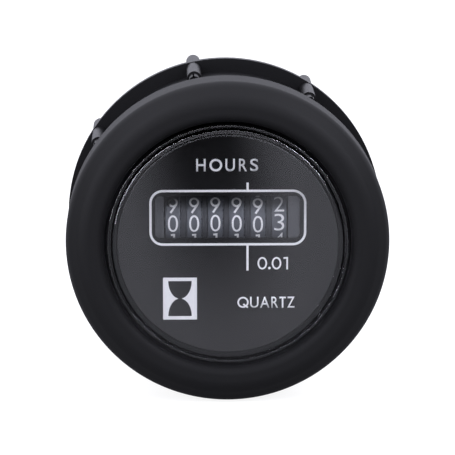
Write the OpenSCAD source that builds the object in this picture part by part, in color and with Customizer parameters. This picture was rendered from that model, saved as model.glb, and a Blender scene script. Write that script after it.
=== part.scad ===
// Round panel hour meter with a rubber bezel, six number wheels and a push-on clamp ring.
// Shapes are drawn as seen from the front: x to the right, y up, z towards the viewer.
// facing() then stands the meter up with its dial towards -Y and the panel plane at Y = 0.

/* [Bezel] */
// Outer diameter of the rubber bezel
bezel_d = 60; // [59:0.5:64]
// Depth of the bezel's straight side, from the panel
bezel_side = 9.6; // [8.8:0.1:12]
// Height of the sloping shoulder in front of the straight side
bezel_crown = 3; // [2:0.1:4]
// Rubber between the case flange and the panel
bezel_back = 4.4; // [3:0.1:5]
// Rubber outside the case flange
bezel_wall = 2; // [1.5:0.1:2.2]
// Rounding of the bezel's inner lip
lip_round = 1.6; // [0.8:0.1:2]

/* [Lens] */
// Diameter of the clear cap's side wall
lens_d = 44.8; // [42:0.2:45.4]
// Thickness of the cap's side wall
lens_wall = 1.3; // [1:0.1:2]
// Thickness of the cap's front
lens_t = 1.5; // [1:0.1:2]
// Height of the cap above the case flange
lens_rise = 4.6; // [3.5:0.1:5]
// Rounding of the cap's front edge
lens_round = 0.8; // [0.3:0.1:1]
// Thickness of the cap's foot, held under the bezel
foot_t = 1.4; // [1:0.1:1.6]
// Open groove between the cap and the bezel's lip
lens_groove = 0.5; // [0.3:0.1:1.6]

/* [Dial] */
// Thickness of the dial plate
dial_t = 0.6; // [0.4:0.1:1]
// Width of the dial's rim that lies on the case ledge
dial_seat = 0.8; // [0.5:0.1:1]
// Width of the counter window
window_w = 26.8; // [25:0.1:28]
// Height of the counter window
window_h = 7.9; // [6:0.1:9]
// Height of the window's centre above the dial's centre
window_rise = 4.4; // [3.6:0.1:5]
// Corner radius of the window
window_r = 0.8; // [0.3:0.1:1.5]

/* [Case] */
// Diameter of the barrel where it passes through the panel
barrel_d = 52; // [51:0.2:52.6]
// Depth of the case behind the panel
body_depth = 33; // [31:0.5:42]
// Wall thickness of the barrel and its floor
case_wall = 2; // [1.6:0.1:2.2]
// Step from the flange in to the neck under the rubber
neck_step = 1.5; // [1:0.1:2]
// Thickness of the front flange
flange_t = 2.6; // [2:0.1:3.2]
// Length of the smooth stretch that sits in the panel
seat_len = 9; // [6:0.5:10]
// Drop from the smooth stretch to the crests of the grip rings
crest_drop = 0.25; // [0.15:0.05:0.4]
// Depth of the grip rings
ring_tooth = 0.35; // [0.2:0.05:0.5]
// Pitch of the grip rings
ring_pitch = 1.5; // [1:0.1:2]
// Chamfer at the back edge of the case
back_chamfer = 1.5; // [0.5:0.1:1.5]
// Diameter of the posts that carry the chassis
post_d = 4.8; // [4:0.1:5.2]
// Distance of the posts in from the barrel's wall
post_reach = 5.5; // [5:0.1:6]

/* [Counter] */
// Drop of the wheels' shaft below the centre of the window
axle_drop = 1.5; // [0:0.1:1.6]
// Diameter of the number wheels
wheel_d = 11.4; // [11.2:0.1:11.8]
// Distance from one wheel to the next
wheel_pitch = 3.95; // [3.8:0.05:4]
// Width of a wheel's digit rim
rim_w = 2.75; // [2.5:0.05:2.8]
// Offset of the row of wheels from the middle of the window
wheel_shift = -0.25; // [-0.4:0.05:0]
// Gap between the dial plate and the wheels
wheel_gap = 0.9; // [0.6:0.1:1.4]
// Diameter of the wheel shaft
shaft_d = 1.6; // [1.2:0.1:1.8]
// Diameter of the pinion shaft
pinion_shaft_d = 1.2; // [0.9:0.1:1.4]
// Module of the carry teeth
carry_module = 0.5; // [0.48:0.01:0.52]

/* [Drive] */
// Module of the drive gear and the pinion that turns it
drive_module = 0.25; // [0.22:0.01:0.28]
// Module of the intermediate gear and the rotor pinion
motor_module = 0.2; // [0.18:0.01:0.22]
// Face width of the drive gear
gear_w = 1; // [0.7:0.1:1.2]
// Diameter of the rotor magnet
magnet_d = 3; // [2.4:0.1:3.2]
// Diameter of the rotor shaft
rotor_shaft_d = 0.6; // [0.5:0.05:0.7]
// Thickness of the stator plate and the coil core
lamination = 1; // [0.6:0.1:1.2]
// Diameter of the coil winding
winding_d = 5.8; // [4.6:0.1:6]

/* [Circuit] */
// Thickness of the circuit board
board_t = 1.6; // [1:0.1:1.6]
// Rise from the board to the coil in front of it
board_rise = 0.9; // [0.5:0.1:1.5]
// Diameter of the capacitor
capacitor_d = 5; // [4:0.1:6]
// Height of the capacitor
capacitor_h = 6.5; // [5:0.1:9]

/* [Terminals] */
// Width of a terminal blade
blade_w = 6.35; // [4.8:0.05:6.4]
// Thickness of a terminal blade
blade_t = 0.8; // [0.5:0.1:1]
// Length of a blade behind the case
blade_len = 8.5; // [7:0.1:12]
// Distance between the two blades
blade_spacing = 14; // [11:0.5:16]

/* [Clamp ring] */
// Outer diameter of the ring plate
ring_d = 60.4; // [59:0.2:64]
// Thickness of the ring plate
ring_t = 1.7; // [1.2:0.1:2.5]
// Distance from the panel plane to the ring plate
ring_back = 21; // [19:0.5:22]
// Number of fingers round the ring
finger_count = 8; // [6:1:12]
// Angle of the first finger above the horizontal
finger_angle = 12; // [0:1:45]
// Diameter of a finger
finger_d = 2.7; // [2:0.1:3]
// Length of a finger in front of the ring plate
finger_front = 12.5; // [9:0.5:13]
// Length of a finger behind the ring plate
finger_rear = 9.6; // [5:0.1:11]
// Diameter of a finger's slit tip
tip_d = 1.9; // [1.4:0.1:1.9]
// Length of a finger's slit tip
tip_len = 3.5; // [1:0.1:3.8]
// Clearance between the ring's sleeve and the grip rings
ring_play = 0.1; // [0.05:0.01:0.2]

/* [Hidden] */
$fn = 64;
// Clearance between fixed pieces
fit_gap = 0.05;
// Radial clearance of a turning piece on its shaft
run_gap = 0.05;
// Clearance of a pressed-in shaft
press_gap = 0.01;
// Overlap of a cutter past the face that it cuts
over = 0.5;

// Stack of the front, from the panel plane
bezel_r = bezel_d / 2;
crown_z = bezel_side + bezel_crown;
flange_z = bezel_back + flange_t;
ledge_z = flange_z - dial_t;
foot_top = flange_z + foot_t;
lens_front = flange_z + lens_rise;
lens_r = lens_d / 2;
opening_r = lens_r + lens_groove;
shoulder_round = 3.2;
corner_round = 0.8;
back_round = 0.8;

// Case
barrel_r = barrel_d / 2;
inner_r = barrel_r - case_wall;
flange_r = bezel_r - bezel_wall;
neck_r = flange_r - neck_step;
neck_wall = 2.5;
mouth_r = neck_r - neck_wall;
crest_r = barrel_r - crest_drop;
dial_r = mouth_r + dial_seat;
back_z = -body_depth;
floor_z = back_z + case_wall;
plain_back = 0.5;
tooth_count = floor((body_depth - seat_len - back_chamfer - plain_back) / ring_pitch);
post_angles = [50, 130, 270];
post_r = post_d / 2;
post_centre = inner_r - post_reach;
board_step = 1;
shoulder_r = post_r + board_step;
collar_h = 1.2;
collar_wall = 1.2;
neck_w = 2.4;
neck_rise = 1;
board_gap = 0.8;
board_r = inner_r - board_gap;
// Place of the capacitor in from the board's lower edge
capacitor_inset = 9.2;
// Places of the parts on the board, as (x, y)
crystal_at = [-14, -9];
chip_at = [-11, 3];
capacitor_at = [-4, capacitor_inset - board_r];
diode_at = [-2, 9];

// Counter
wheel_count = 6;
digit_step = 360 / 10;
wheel_r = wheel_d / 2;
axle_y = window_rise - axle_drop;
axle_z = ledge_z - wheel_gap - wheel_r;
shaft_r = shaft_d / 2;
hub_wall = 0.9;
hub_r = shaft_r + hub_wall;
carry_teeth = 20;
pinion_teeth = 8;
carry_reach = carry_module * (carry_teeth + pinion_teeth) / 2;
carry_y = axle_y - carry_reach;
gap_w = wheel_pitch - rim_w;
side_play = 0.1;
track_w = gap_w / 2 - side_play;
pinion_w = gap_w - 2 * side_play;
pinion_shaft_r = pinion_shaft_d / 2;
addendum = 0.9;
dedendum = 1.2;
lock_gap = 0.1;
lock_r = carry_reach - carry_module * (pinion_teeth / 2 + addendum) - lock_gap;
notch_r = 0.7;
wheel_web = 0.8;
wheel_rim = 0.6;
spacer_gap = 0.2;
wheel_right = wheel_shift + wheel_pitch * (wheel_count - 1) / 2;
function wheel_x(place) = wheel_right - place * wheel_pitch;

// Chassis
cheek_left = 1.6;
cheek_right = 2.1;
cheek_gap = 0.3;
left_face = wheel_x(wheel_count - 1) - rim_w / 2 - cheek_gap;
right_face = wheel_right + rim_w / 2 + cheek_gap;
chassis_left = left_face - cheek_left;
chassis_right = right_face + cheek_right;
cheek_front = axle_z + wheel_r;
plate_t = 1.8;
plate_gap = 0.6;
plate_front = axle_z - wheel_r - plate_gap;
plate_back = plate_front - plate_t;
chassis_r = post_centre + shoulder_r;
cheek_margin = 0.5;
cheek_foot = 2.6;
cheek_top = axle_y + wheel_r + cheek_margin;
cheek_bottom = carry_y - pinion_shaft_r - cheek_foot;

// Drive train, from the hundredths wheel back to the rotor
drive_teeth = 40;
idle_teeth = 48;
idle_pinion_teeth = 8;
rotor_teeth = 8;
idle_reach = drive_module * (drive_teeth + idle_pinion_teeth) / 2;
idle_angle = 250;
idle_y = axle_y + idle_reach * cos(idle_angle);
idle_z = axle_z + idle_reach * sin(idle_angle);
rotor_reach = motor_module * (idle_teeth + rotor_teeth) / 2;
rotor_angle = 250;
rotor_y = idle_y + rotor_reach * cos(rotor_angle);
rotor_z = idle_z + rotor_reach * sin(rotor_angle);
arbor_r = 0.4;
rotor_shaft_r = rotor_shaft_d / 2;
gear_gap = 0.3;
drive_x = chassis_right + gear_gap;
idle_x = drive_x + gear_w + gear_gap;
idle_w = 0.8;
rotor_pinion_w = 1.1;
bridge_gap = 0.7;
bridge_x = idle_x + idle_w + bridge_gap;
bridge_t = 1.2;
bridge_right = bridge_x + bridge_t;
cheek_tail = 3.6;
cheek_rear = rotor_z - cheek_tail;
tail_top = rotor_y + cheek_tail;
// Screw posts of the gear bridge, as (y, z): above the drive gear, below it and behind the rotor
upper_post = [4.2, -7.7];
lower_post = [-1.7, -2.2];
rear_post = [-3.4, -2];
bridge_posts = [
    [axle_y, axle_z] + upper_post,
    [carry_y, axle_z] + lower_post,
    [rotor_y, rotor_z] + rear_post
];
bridge_margin = 1.8;
bridge_nose = 1;
bridge_post_r = 1.5;

// Motor
magnet_r = magnet_d / 2;
magnet_w = lamination + 0.6;
stator_x = 8;
air_gap = 0.5;
stator_hole_r = magnet_r + air_gap;
leg_w = 2.5;
yoke_rim = 0.6;
yoke_half = 6;
winding_r = winding_d / 2;
bobbin_lip = 0.3;
bobbin_r = winding_r + bobbin_lip;
bobbin_tube_r = 1.75;
bobbin_end = 0.6;
core_h = 1.8;
core_x = stator_x + lamination + fit_gap;
coil_x = core_x + lamination / 2;
coil_gap = 0.4;
coil_z = cheek_rear - bobbin_r - coil_gap;
leg_end = coil_z - core_h / 2 - coil_gap;
board_top = coil_z - bobbin_r - board_rise;
board_z = board_top - board_t;
wall_t = 1.7;
wall_x = stator_x - fit_gap - wall_t;
leg_gap = 0.2;
bobbin_half = yoke_half - leg_w - leg_gap;
stator_screw_y = [rotor_y - yoke_half + leg_w / 2, rotor_y + yoke_half - leg_w / 2];

// Screws
screw_r = 0.75;
screw_head_r = 1.7;
screw_head_h = 1.2;
screw_len = 8;
small_screw_r = 0.5;
small_head_r = 1.1;
small_head_h = 0.7;

// Clamp ring
ring_r = ring_d / 2;
ring_front = -ring_back;
ring_rear = ring_front - ring_t;
finger_r = finger_d / 2;
catch_depth = 0.25;
catch_h = 1.2;
catch_r = crest_r + ring_play;
sleeve_in = catch_r + catch_depth;
sleeve_wall = 1.5;
sleeve_out = sleeve_in + sleeve_wall;
finger_sink = 0.2;
finger_reach = sleeve_out + finger_r - finger_sink;
sleeve_front = 5;
sleeve_rear = 6;
slot_w = 1.2;
slot_root = 1;
tip_slit = 0.3;
end_chamfer = 0.3;

// Stands the front view up: x stays, y becomes +Z and z becomes -Y
module facing() {
    rotate([90, 0, 0]) children();
}

// Extrudes a side view (y, z) along x, starting at the given point
module along_x(x, y, z, w) {
    translate([x, y, z]) rotate([90, 0, 90]) linear_extrude(w) children();
}

// A round bar along x
module bar_x(x, y, z, r, w) {
    translate([x, y, z]) rotate([0, 90, 0]) cylinder(r = r, h = w);
}

// Points of an arc in a half section
function arc(c, r, from, to, steps) =
    [for (i = [0:steps]) let (a = from + (to - from) * i / steps) [c[0] + r * cos(a), c[1] + r * sin(a)]];

// Outline of a gear with straight-sided teeth, one tooth centred on the first axis
function gear_points(teeth, module_mm) =
    let (
        pitch_r = module_mm * teeth / 2,
        radii = [pitch_r - dedendum * module_mm, pitch_r, pitch_r + addendum * module_mm],
        halves = [0.74 * module_mm, 0.6 * module_mm, 0.26 * module_mm]
    )
    [for (i = [0:teeth - 1]) for (k = [0:5])
        let (
            level = k < 3 ? k : 5 - k,
            side = k < 3 ? -1 : 1,
            a = 360 * i / teeth + side * halves[level] / radii[level] * 180 / PI
        )
        radii[level] * [cos(a), sin(a)]];

module gear(teeth, module_mm, turn = 0) {
    rotate(turn) polygon(gear_points(teeth, module_mm));
}

module at_posts() {
    for (a = post_angles) rotate(a) translate([post_centre, 0, 0]) rotate(-a) children();
}

module rubber_bezel() {
    edge_r = bezel_r - bezel_crown;
    land = edge_r - opening_r;
    lip = min(lip_round, land / 2);
    bend = min(shoulder_round * tan(22.5), land / 2.5);
    shoulder = bend / tan(22.5);
    section = concat(
        [[opening_r, foot_top]],
        arc([opening_r + lip, crown_z - lip], lip, 180, 90, 8),
        arc([edge_r - bend, crown_z - shoulder], shoulder, 90, 45, 8),
        arc([bezel_r - corner_round, bezel_side - corner_round * tan(22.5)], corner_round, 45, 0, 4),
        arc([bezel_r - back_round, back_round], back_round, 0, -90, 6),
        [
            [neck_r + fit_gap, 0],
            [neck_r + fit_gap, bezel_back],
            [flange_r + fit_gap, bezel_back],
            [flange_r + fit_gap, foot_top]
        ]
    );
    color([0.13, 0.13, 0.14]) facing() rotate_extrude($fn = 128) polygon(section);
}

module lens() {
    section = concat(
        [[0, lens_front - lens_t], [lens_r - lens_wall, lens_front - lens_t], [lens_r - lens_wall, flange_z]],
        [[flange_r, flange_z], [flange_r, foot_top], [lens_r, foot_top]],
        arc([lens_r - lens_round, lens_front - lens_round], lens_round, 0, 90, 6),
        [[0, lens_front]]
    );
    color([0.85, 0.88, 0.9, 0.3]) facing() rotate_extrude($fn = 128) polygon(section);
}

module window_outline() {
    across = window_w - 2 * window_r;
    up = window_h - 2 * window_r;
    square([window_w, up], center = true);
    square([across, window_h], center = true);
    for (x = [-1, 1]) for (y = [-1, 1]) translate([x * across / 2, y * up / 2]) circle(window_r, $fn = 32);
}

module dial_plate() {
    color([0.2, 0.2, 0.21]) facing() difference() {
        translate([0, 0, ledge_z]) cylinder(r = dial_r, h = dial_t, $fn = 128);
        translate([0, window_rise, ledge_z - over]) linear_extrude(dial_t + 2 * over) window_outline();
    }
}

// Sawtooth grip rings, from the panel seat to the back of the barrel
function grip_ring_points() =
    [for (i = [0:tooth_count - 1]) let (z = -seat_len - i * ring_pitch)
        each [[crest_r - ring_tooth, z], [crest_r, z - ring_pitch]]];

module case() {
    section = concat(
        [[0, floor_z], [inner_r, floor_z], [inner_r, -case_wall], [min(inner_r, mouth_r), 0]],
        [[mouth_r, case_wall], [mouth_r, ledge_z], [dial_r + fit_gap, ledge_z]],
        [[dial_r + fit_gap, flange_z], [flange_r, flange_z], [flange_r, bezel_back], [neck_r, bezel_back]],
        [[neck_r, 0], [barrel_r, 0], [barrel_r, -seat_len]],
        grip_ring_points(),
        [[crest_r, back_z + back_chamfer], [crest_r - back_chamfer, back_z], [0, back_z]]
    );
    color([0.1, 0.1, 0.11]) facing() difference() {
        union() {
            rotate_extrude($fn = 128) polygon(section);
            at_posts() translate([0, 0, floor_z - over]) {
                cylinder(r = shoulder_r, h = board_z - floor_z + over);
                cylinder(r = post_r, h = plate_back - floor_z + over);
            }
            for (side = [-1, 1]) translate([side * blade_spacing / 2, 0, back_z - collar_h / 2 + over / 2])
                cube([blade_t + 2 * collar_wall, blade_w + 2 * collar_wall, collar_h + over], center = true);
        }
        at_posts() translate([0, 0, plate_back - screw_len])
            cylinder(r = screw_r + fit_gap, h = screw_len + over);
        for (side = [-1, 1]) translate([side * blade_spacing / 2, 0, back_z + case_wall / 2 - collar_h / 2])
            cube([blade_t + 2 * fit_gap, blade_w + 2 * fit_gap, case_wall + collar_h + 2 * over],
                center = true);
    }
}

// One finger: a rod with a chamfered rear end and a thinner slit tip in front
module finger() {
    rear_z = ring_rear - finger_rear;
    step_z = ring_front + finger_front;
    translate([finger_reach, 0, rear_z])
        cylinder(r1 = finger_r - end_chamfer, r2 = finger_r, h = end_chamfer, $fn = 32);
    translate([finger_reach, 0, rear_z + end_chamfer])
        cylinder(r = finger_r, h = step_z - rear_z - end_chamfer, $fn = 32);
    translate([finger_reach, 0, step_z]) difference() {
        translate([0, 0, -over]) cylinder(r = tip_d / 2, h = tip_len + over, $fn = 32);
        translate([-tip_d, -tip_slit / 2, 0]) cube([2 * tip_d, tip_slit, tip_len + over]);
    }
}

module clamp_ring() {
    sleeve_end = ring_rear - sleeve_rear;
    sleeve_h = sleeve_rear + ring_t + sleeve_front;
    turn = 360 / finger_count;
    color([0.07, 0.07, 0.07]) facing() difference() {
        union() {
            translate([0, 0, ring_rear]) cylinder(r = ring_r, h = ring_t, $fn = 128);
            translate([0, 0, sleeve_end]) cylinder(r = sleeve_out, h = sleeve_h, $fn = 128);
            for (i = [0:finger_count - 1]) rotate(finger_angle + i * turn) finger();
        }
        translate([0, 0, sleeve_end - over]) cylinder(r = catch_r, h = catch_h + over, $fn = 128);
        translate([0, 0, sleeve_end + catch_h - press_gap])
            cylinder(r = sleeve_in, h = sleeve_h + over, $fn = 128);
        for (i = [0:finger_count - 1]) rotate(finger_angle + (i + 0.5) * turn)
            translate([crest_r - over, -slot_w / 2, sleeve_end - over])
                cube([sleeve_out - crest_r + 2 * over, slot_w, sleeve_rear - slot_root + over]);
    }
}

// One blade: pushed through the floor up to its stop, with a neck that is soldered to the board
module blade(side) {
    tip_cut = 1;
    stop_over = 1;
    stop_h = 1.6;
    latch_r = 0.9;
    latch_reach = 3.4;
    root_z = floor_z + stop_h / 2;
    tip_z = back_z - blade_len;
    half = blade_w / 2;
    left = side * blade_spacing / 2 - blade_t / 2;
    color([0.78, 0.74, 0.62]) facing() translate([left, 0, 0]) difference() {
        union() {
            along_x(0, 0, 0, blade_t) polygon([
                [-half, root_z], [-half, tip_z + tip_cut], [-half + tip_cut, tip_z],
                [half - tip_cut, tip_z], [half, tip_z + tip_cut], [half, root_z]
            ]);
            translate([0, -half - stop_over, floor_z + press_gap])
                cube([blade_t, blade_w + 2 * stop_over, stop_h]);
            translate([0, -neck_w / 2, root_z]) cube([blade_t, neck_w, board_top + neck_rise - root_z]);
        }
        bar_x(-over, 0, tip_z + latch_reach, latch_r, blade_t + 2 * over);
    }
}

module terminal_left() {
    blade(-1);
}

module terminal_right() {
    blade(1);
}

module motor_leg_outline(grow) {
    difference() {
        translate([rotor_y - yoke_half - grow, leg_end - grow])
            square([2 * (yoke_half + grow), rotor_z + stator_hole_r + yoke_rim - leg_end + grow]);
        translate([rotor_y - yoke_half + leg_w, leg_end - grow - over])
            square([2 * (yoke_half - leg_w), coil_z + bobbin_r + leg_gap - leg_end + grow + over]);
    }
}

module chassis() {
    wall_grow = 0.3;
    screw_play = 0.2;
    color([0.3, 0.31, 0.33]) facing() difference() {
        union() {
            translate([0, 0, plate_back]) linear_extrude(plate_t) {
                intersection() {
                    circle(chassis_r);
                    translate([chassis_left, -chassis_r])
                        square([chassis_right - chassis_left, 2 * chassis_r]);
                }
                at_posts() circle(shoulder_r);
            }
            along_x(chassis_left, 0, 0, cheek_left)
                translate([cheek_bottom, plate_back])
                    square([cheek_top - cheek_bottom, cheek_front - plate_back]);
            along_x(right_face, 0, 0, cheek_right) polygon([
                [cheek_bottom, cheek_rear], [tail_top, cheek_rear], [tail_top, plate_back],
                [cheek_top, plate_back], [cheek_top, cheek_front], [cheek_bottom, cheek_front]
            ]);
            along_x(wall_x, 0, 0, wall_t) {
                motor_leg_outline(wall_grow);
                translate([rotor_y - yoke_half - wall_grow, rotor_z])
                    square([2 * (yoke_half + wall_grow), plate_back - rotor_z + plate_t / 2]);
            }
        }
        along_x(stator_x - fit_gap, 0, 0, magnet_w + 2 * fit_gap) motor_leg_outline(fit_gap);
        bar_x(chassis_left - over, axle_y, axle_z, shaft_r + press_gap, cheek_left + 2 * over);
        bar_x(right_face - over, axle_y, axle_z, hub_r + run_gap, cheek_right + 2 * over);
        for (x = [chassis_left, right_face])
            bar_x(x - over, carry_y, axle_z, pinion_shaft_r + press_gap, cheek_right + 2 * over);
        bar_x(right_face - over, idle_y, idle_z, arbor_r + press_gap, cheek_right + 2 * over);
        for (x = [wall_x, right_face])
            bar_x(x - over, rotor_y, rotor_z, rotor_shaft_r + run_gap, cheek_right + 2 * over);
        for (y = stator_screw_y)
            bar_x(wall_x - over, y, coil_z, small_screw_r + fit_gap, wall_t + 2 * over);
        for (p = bridge_posts)
            bar_x(right_face - over, p[0], p[1], small_screw_r + fit_gap, cheek_right + 2 * over);
        at_posts() translate([0, 0, plate_back - over])
            cylinder(r = screw_r + screw_play, h = plate_t + 2 * over);
    }
}

module wheel_shaft() {
    color([0.75, 0.76, 0.78]) facing()
        bar_x(chassis_left, axle_y, axle_z, shaft_r, bridge_right - chassis_left);
}

// One number wheel, place 0 being the hundredths at the right, turned to show its digit
module number_wheel(place, digit) {
    x = wheel_x(place);
    first = place == 0;
    last = place == wheel_count - 1;
    left = x - rim_w / 2 - (last ? cheek_gap - side_play : track_w);
    right = first ? drive_x + gear_w : x + rim_w / 2 + track_w;
    notch = 180 - digit_step * (digit + 1);
    pocket_r = lock_r - wheel_rim;
    color([0.33, 0.34, 0.37]) facing() difference() {
        union() {
            bar_x(x - rim_w / 2, axle_y, axle_z, wheel_r, rim_w);
            bar_x(left, axle_y, axle_z, hub_r, right - left);
            if (!first) along_x(x + rim_w / 2, axle_y, axle_z, track_w)
                gear(carry_teeth, carry_module, 180 / carry_teeth);
            if (!last) along_x(x - rim_w / 2 - track_w, axle_y, axle_z, track_w) difference() {
                circle(lock_r);
                rotate(notch) translate([lock_r, 0]) circle(notch_r, $fn = 24);
            }
        }
        difference() {
            bar_x(x - rim_w / 2 + wheel_web, axle_y, axle_z, pocket_r, rim_w + track_w);
            bar_x(x - rim_w, axle_y, axle_z, hub_r, 2 * rim_w + track_w);
        }
        bar_x(left - over, axle_y, axle_z, shaft_r + run_gap, right - left + 2 * over);
    }
}

module thousands_wheel() {
    number_wheel(5, 0);
}

module hundreds_wheel() {
    number_wheel(4, 0);
}

module tens_wheel() {
    number_wheel(3, 0);
}

module units_wheel() {
    number_wheel(2, 0);
}

module tenths_wheel() {
    number_wheel(1, 0);
}

module hundredths_wheel() {
    number_wheel(0, 3);
}

module drive_gear() {
    color([0.85, 0.85, 0.82]) facing() difference() {
        along_x(drive_x, axle_y, axle_z, gear_w)
            gear(drive_teeth, drive_module, idle_angle - 180 / drive_teeth);
        bar_x(drive_x - over, axle_y, axle_z, hub_r + press_gap, gear_w + 2 * over);
    }
}

module pinion_shaft() {
    color([0.75, 0.76, 0.78]) facing()
        bar_x(chassis_left, carry_y, axle_z, pinion_shaft_r, chassis_right - chassis_left);
}

// Carry pinion with every second tooth cut short, and the spacer that holds it to its place
module transfer_pinion(place) {
    left = wheel_x(place) - rim_w / 2 - gap_w + side_play;
    spacer_r = carry_reach - wheel_r - spacer_gap;
    spacer_w = wheel_pitch - side_play;
    color([0.88, 0.87, 0.83]) facing() difference() {
        union() {
            along_x(left, carry_y, axle_z, pinion_w / 2) gear(pinion_teeth, carry_module);
            along_x(left, carry_y, axle_z, pinion_w) intersection() {
                gear(pinion_teeth, carry_module);
                union() {
                    circle(carry_module * (pinion_teeth / 2 - dedendum));
                    for (a = [0, 90]) rotate(a)
                        square([2 * carry_module * pinion_teeth, 1.7 * carry_module], center = true);
                }
            }
            bar_x(left, carry_y, axle_z, spacer_r, spacer_w);
        }
        bar_x(left - over, carry_y, axle_z, pinion_shaft_r + run_gap, spacer_w + 2 * over);
    }
}

module transfer_pinion_1() {
    transfer_pinion(0);
}

module transfer_pinion_2() {
    transfer_pinion(1);
}

module transfer_pinion_3() {
    transfer_pinion(2);
}

module transfer_pinion_4() {
    transfer_pinion(3);
}

module transfer_pinion_5() {
    transfer_pinion(4);
}

module intermediate_gear() {
    color([0.85, 0.85, 0.82]) facing() difference() {
        union() {
            along_x(drive_x, idle_y, idle_z, idle_x - drive_x)
                gear(idle_pinion_teeth, drive_module, idle_angle + 180);
            along_x(idle_x, idle_y, idle_z, idle_w)
                gear(idle_teeth, motor_module, rotor_angle - 180 / idle_teeth);
        }
        bar_x(drive_x - over, idle_y, idle_z, arbor_r + run_gap, idle_x + idle_w - drive_x + 2 * over);
    }
}

module gear_arbor() {
    color([0.75, 0.76, 0.78]) facing()
        bar_x(right_face, idle_y, idle_z, arbor_r, bridge_right - right_face);
}

module rotor_shaft() {
    color([0.75, 0.76, 0.78]) facing() union() {
        bar_x(wall_x, rotor_y, rotor_z, rotor_shaft_r, bridge_right - wall_x);
        along_x(idle_x + (idle_w - rotor_pinion_w) / 2, rotor_y, rotor_z, rotor_pinion_w)
            gear(rotor_teeth, motor_module, rotor_angle + 180);
    }
}

module rotor_magnet() {
    color([0.35, 0.33, 0.32]) facing() difference() {
        bar_x(stator_x, rotor_y, rotor_z, magnet_r, magnet_w);
        bar_x(stator_x - over, rotor_y, rotor_z, rotor_shaft_r + press_gap, magnet_w + 2 * over);
    }
}

module gear_bridge() {
    low_y = bridge_posts[2][0] - bridge_margin;
    high_y = bridge_posts[0][0] + bridge_margin;
    low_z = bridge_posts[2][1] - bridge_margin;
    high_z = axle_z + hub_r + bridge_nose;
    color([0.3, 0.31, 0.33]) facing() difference() {
        union() {
            along_x(bridge_x, 0, 0, bridge_t) polygon([
                [low_y, low_z], [rotor_y + bridge_margin, low_z],
                [high_y, bridge_posts[0][1] - bridge_margin],
                [high_y, bridge_posts[0][1] + bridge_margin], [axle_y + hub_r, high_z],
                [axle_y - hub_r, high_z], [low_y, bridge_posts[1][1] + bridge_margin]
            ]);
            for (p = bridge_posts)
                bar_x(chassis_right, p[0], p[1], bridge_post_r, bridge_x - chassis_right);
        }
        bar_x(bridge_x - over, axle_y, axle_z, shaft_r + press_gap, bridge_t + 2 * over);
        bar_x(bridge_x - over, idle_y, idle_z, arbor_r + press_gap, bridge_t + 2 * over);
        bar_x(bridge_x - over, rotor_y, rotor_z, rotor_shaft_r + run_gap, bridge_t + 2 * over);
        for (p = bridge_posts)
            bar_x(chassis_right - over, p[0], p[1], small_screw_r + fit_gap,
                bridge_right - chassis_right + 2 * over);
    }
}

module stator() {
    color([0.6, 0.61, 0.63]) facing() difference() {
        along_x(stator_x, 0, 0, lamination) motor_leg_outline(0);
        bar_x(stator_x - over, rotor_y, rotor_z, stator_hole_r, lamination + 2 * over);
        for (y = stator_screw_y)
            bar_x(stator_x - over, y, coil_z, small_screw_r + fit_gap, lamination + 2 * over);
    }
}

module coil_core() {
    color([0.55, 0.56, 0.58]) facing() difference() {
        translate([core_x, rotor_y - yoke_half, coil_z - core_h / 2])
            cube([lamination, 2 * yoke_half, core_h]);
        for (y = stator_screw_y)
            bar_x(core_x - over, y, coil_z, small_screw_r + fit_gap, lamination + 2 * over);
    }
}

module coil_bar(r, from, to) {
    translate([coil_x, from, coil_z]) rotate([-90, 0, 0]) cylinder(r = r, h = to - from);
}

module coil_bobbin() {
    color([0.8, 0.78, 0.7]) facing() difference() {
        union() {
            coil_bar(bobbin_tube_r, rotor_y - bobbin_half, rotor_y + bobbin_half);
            coil_bar(bobbin_r, rotor_y - bobbin_half, rotor_y - bobbin_half + bobbin_end);
            coil_bar(bobbin_r, rotor_y + bobbin_half - bobbin_end, rotor_y + bobbin_half);
        }
        translate([coil_x, rotor_y, coil_z])
            cube([lamination + 2 * fit_gap, 2 * bobbin_half + over, core_h + 2 * fit_gap], center = true);
    }
}

module coil_winding() {
    half = bobbin_half - bobbin_end - fit_gap;
    color([0.72, 0.38, 0.2]) facing() difference() {
        coil_bar(winding_r, rotor_y - half, rotor_y + half);
        coil_bar(bobbin_tube_r + press_gap, rotor_y - half - over, rotor_y + half + over);
    }
}

module circuit_board() {
    slot_play = 0.1;
    color([0.1, 0.35, 0.2]) facing() difference() {
        translate([0, 0, board_z]) cylinder(r = board_r, h = board_t);
        at_posts() translate([0, 0, board_z - over]) cylinder(r = post_r + slot_play, h = board_t + 2 * over);
        for (side = [-1, 1]) translate([side * blade_spacing / 2, 0, board_z + board_t / 2])
            cube([blade_t + 2 * slot_play, neck_w + 2 * slot_play, board_t + 2 * over], center = true);
    }
}

module quartz_crystal() {
    can_r = 1;
    can_len = 6;
    color([0.8, 0.81, 0.83]) facing()
        translate([crystal_at[0], crystal_at[1], board_top + can_r + press_gap])
            rotate([0, 90, 0]) cylinder(r = can_r, h = can_len);
}

module chip() {
    chip_w = 4.9;
    chip_d = 3.9;
    chip_h = 1.4;
    lead_w = 0.4;
    lead_t = 0.3;
    lead_len = 1;
    lead_pitch = 1.27;
    stand = 0.1;
    color([0.12, 0.12, 0.12]) facing() translate([chip_at[0], chip_at[1], board_top + press_gap]) {
        translate([-chip_w / 2, -chip_d / 2, stand]) cube([chip_w, chip_d, chip_h]);
        for (i = [-1.5:1:1.5]) translate([i * lead_pitch - lead_w / 2, -chip_d / 2 - lead_len, 0])
            cube([lead_w, chip_d + 2 * lead_len, lead_t]);
    }
}

module capacitor() {
    color([0.15, 0.2, 0.35]) facing()
        translate([capacitor_at[0], capacitor_at[1], board_top + press_gap])
            cylinder(d = capacitor_d, h = capacitor_h);
}

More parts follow.
